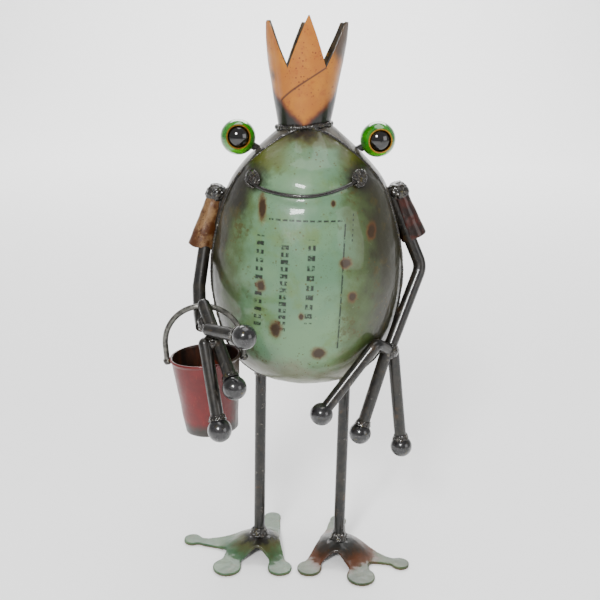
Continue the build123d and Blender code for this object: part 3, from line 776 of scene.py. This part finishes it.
# ---- sleeves ----
SLEEVES = {
    "left": ((-62.5, -3, 264.5), (-72, -6, 231.5), 6.0, 9.3),
    "right": ((59.0, -2, 268.5), (70.3, -4, 240.5), 6.0, 8.6),
}
for side, (top, end, top_radius, end_radius) in SLEEVES.items():
    top, end = Vector(top), Vector(end)
    along = (end - top).normalized()
    across = Vector((0, -1, 0))
    across = (across - along * across.dot(along)).normalized()
    third = along.cross(across)
    rows, columns = 40, 110
    points, marks = [], []
    for r in range(rows):
        share = r / (rows - 1)
        for c in range(columns):
            angle = 2 * pi * c / (columns - 1) * 1.06
            grow = 0.9 * c / (columns - 1)
            hem = 1.2 * sin(angle + 0.8) + 0.7 * lumps((cos(angle), sin(angle), 0), 0.7, 3.0)
            radius = top_radius + (end_radius - top_radius) * share + grow - 0.45
            place = top + along * ((end - top).length * share + hem * share)
            unevenness = 0.35 * lumps(place + across * cos(angle) * 8, 6.0)
            place += (across * cos(angle) + third * sin(angle)) * (radius + unevenness)
            points.append(place)
            marks.append(max(0.0, 1 - (1 - share) * 30))
    sleeve = new_object(f"shoulder_sleeve_{side}_rolled", points, grid_faces(rows, columns), [SLEEVE], "frog",
                        (f"shoulder_sleeve_{side}",), marks)
    thicken(sleeve, SHEET)
    weathered(f"shoulder_weld_{side}", WELD, "frog", 0.4, 1.1, 4.0, 2)
    weathered(f"wrist_weld_{side}", WELD, "frog", 0.35, 1.0, 3.0, 2)
    weathered(f"fingertip_welds_{side}", WELD, "frog", 0.3, 0.7, 2.0, 1)
    weathered(f"ankle_weld_{side}", WELD, "frog", 0.35, 0.9, 2.6, 2)
    weathered(f"hip_weld_{side}", WELD, "frog", 0.35, 0.6, 2.4, 2)

LEGS = {"left": (-31.3, -4.0), "right": (27.6, -8.0)}
for side in SIDES:
    weathered(f"foot_{side}", foot_paint(side, LEGS[side]), "frog", 0.5, 0.35, 9.0, 3)
    plain = [f"arm_bar_{side}", f"leg_bar_{side}", f"eye_post_{side}"]
    plain += [f"finger_bar_{side}_{finger}" for finger in FINGERS]
    for node in plain:
        nodes[node].data.materials.clear()
        nodes[node].data.materials.append(BAR)
    for finger in FINGERS:
        ball = nodes[f"finger_ball_{side}_{finger}"].data
        ball.materials.clear()
        ball.materials.append(BALL)
        ball.shade_smooth()

# ---- bucket ----
PIVOT = Vector((-68.1, -50.0, 202.2))
HANG = Matrix.Translation(PIVOT) @ Matrix.Rotation(radians(-4.9), 4, "Y")
RIM_R, RIM_DROP, TALL, BASE_R, TIN, RIM_BEAD = 23.1, 33.5, 49.3, 17.2, 0.8, 1.8
rim_at = Vector((RIM_R - RIM_BEAD / 2, 0, -RIM_DROP))
wall_rows = 30
floor_z = -RIM_DROP - TALL + 2.0
section = [(0.0, floor_z), (BASE_R * 0.6, floor_z), (BASE_R - TIN, floor_z), (BASE_R - TIN, -RIM_DROP - TALL)]
for i in range(wall_rows + 1):
    share = i / wall_rows
    section.append((BASE_R + (rim_at.x - BASE_R) * share, -RIM_DROP - TALL + (TALL - 0.7) * share))
for i in range(9):
    turn = radians(-70 + 230 * i / 8)
    section.append((rim_at.x + RIM_BEAD / 2 * cos(turn), -RIM_DROP + RIM_BEAD / 2 * sin(turn)))
inner_start = len(section) - 1
for i in range(wall_rows + 1):
    share = 1 - i / wall_rows
    inside_radius = BASE_R - TIN + (rim_at.x - BASE_R) * share
    section.append((inside_radius, -RIM_DROP - TALL + 2.8 + (TALL - 3.8) * share))
section += [(BASE_R * 0.6, -RIM_DROP - TALL + 2.8), (0.0, -RIM_DROP - TALL + 2.8)]
turns = 120
points = []
for r, (radius, height) in enumerate(section):
    for c in range(turns):
        angle = 2 * pi * c / turns
        flat = Vector((cos(angle), sin(angle), 0))
        dent = 0.3 * lumps(flat * 20 + Vector((0, 0, height)), 12.0, 6.0) if radius > 5 else 0.0
        points.append(HANG @ (flat * (radius + dent) + Vector((0, 0, height))))
faces = grid_faces(len(section), turns, True)
slots = [1 if f[0] // turns >= inner_start - 2 else 0 for f in faces]
bucket_nodes = ("bucket_wall", "bucket_base", "bucket_rim")
new_object("bucket_tin", points, faces, [BUCKET, TIN_INSIDE], "bucket", bucket_nodes, None, slots)
nodes["bucket_bail"].data.materials.clear()
nodes["bucket_bail"].data.materials.append(BAIL)
weathered("bail_end_welds", WELD, "bucket", 0.25, 0.5, 1.6, 1)

# ---- floor, light and camera ----
floor_mesh = bpy.data.meshes.new("studio_floor")
cove = [(2.2 + sin(a), 1 - cos(a)) for a in np.linspace(0.1, pi / 2, 16)]
sweep = [(-3.0, 0.0), (2.2, 0.0)] + cove + [(3.2, 5.0)]
floor_points = [(x, y, z) for y, z in sweep for x in (-6.0, 6.0)]
floor_faces = [(2 * i, 2 * i + 1, 2 * i + 3, 2 * i + 2) for i in range(len(sweep) - 1)]
floor_mesh.from_pydata(floor_points, [], floor_faces)
floor_mesh.shade_smooth()
floor = bpy.data.objects.new("studio_floor", floor_mesh)
bpy.context.scene.collection.objects.link(floor)
white = bpy.data.materials.new("studio_white")
white.use_nodes = True
white.node_tree.nodes["Principled BSDF"].inputs["Base Color"].default_value = (0.95, 0.95, 0.95, 1)
white.node_tree.nodes["Principled BSDF"].inputs["Roughness"].default_value = 0.9
floor_mesh.materials.append(white)

world = bpy.data.worlds.new("studio")
world.use_nodes = True
world.node_tree.nodes["Background"].inputs[0].default_value = (1, 1, 1, 1)
world.node_tree.nodes["Background"].inputs[1].default_value = 0.5
bpy.context.scene.world = world


def area_light(name, place, target, size, power):
    data = bpy.data.lights.new(name, "AREA")
    data.size = size
    data.energy = power
    lamp = bpy.data.objects.new(name, data)
    lamp.location = place
    lamp.rotation_euler = (Vector(target) - Vector(place)).to_track_quat("-Z", "Y").to_euler()
    bpy.context.scene.collection.objects.link(lamp)


area_light("key", (-0.35, -1.3, 1.1), (0, 0, 0.2), 0.3, 30)
area_light("fill", (1.3, -0.9, 0.6), (0, 0, 0.2), 0.8, 6)
area_light("top", (0.1, 0.1, 1.6), (0, 0, 0.1), 0.9, 9)
area_light("backdrop", (0.0, 2.4, 2.2), (0, 2.9, 0.0), 2.4, 150)

EYE = (Vector((-5.0, -588.0, 365.0)) + BODY) * MM
camera_data = bpy.data.cameras.new("camera")
camera_data.lens = 53.16
camera_data.sensor_width = 36.0
camera_data.clip_start = 0.01
camera = bpy.data.objects.new("camera", camera_data)
camera.matrix_world = (Matrix.Translation(EYE) @ Matrix.Rotation(radians(90 - 16.3), 4, "X")
                       @ Matrix.Rotation(radians(1.3), 4, "Z"))
bpy.context.scene.collection.objects.link(camera)
bpy.context.scene.camera = camera
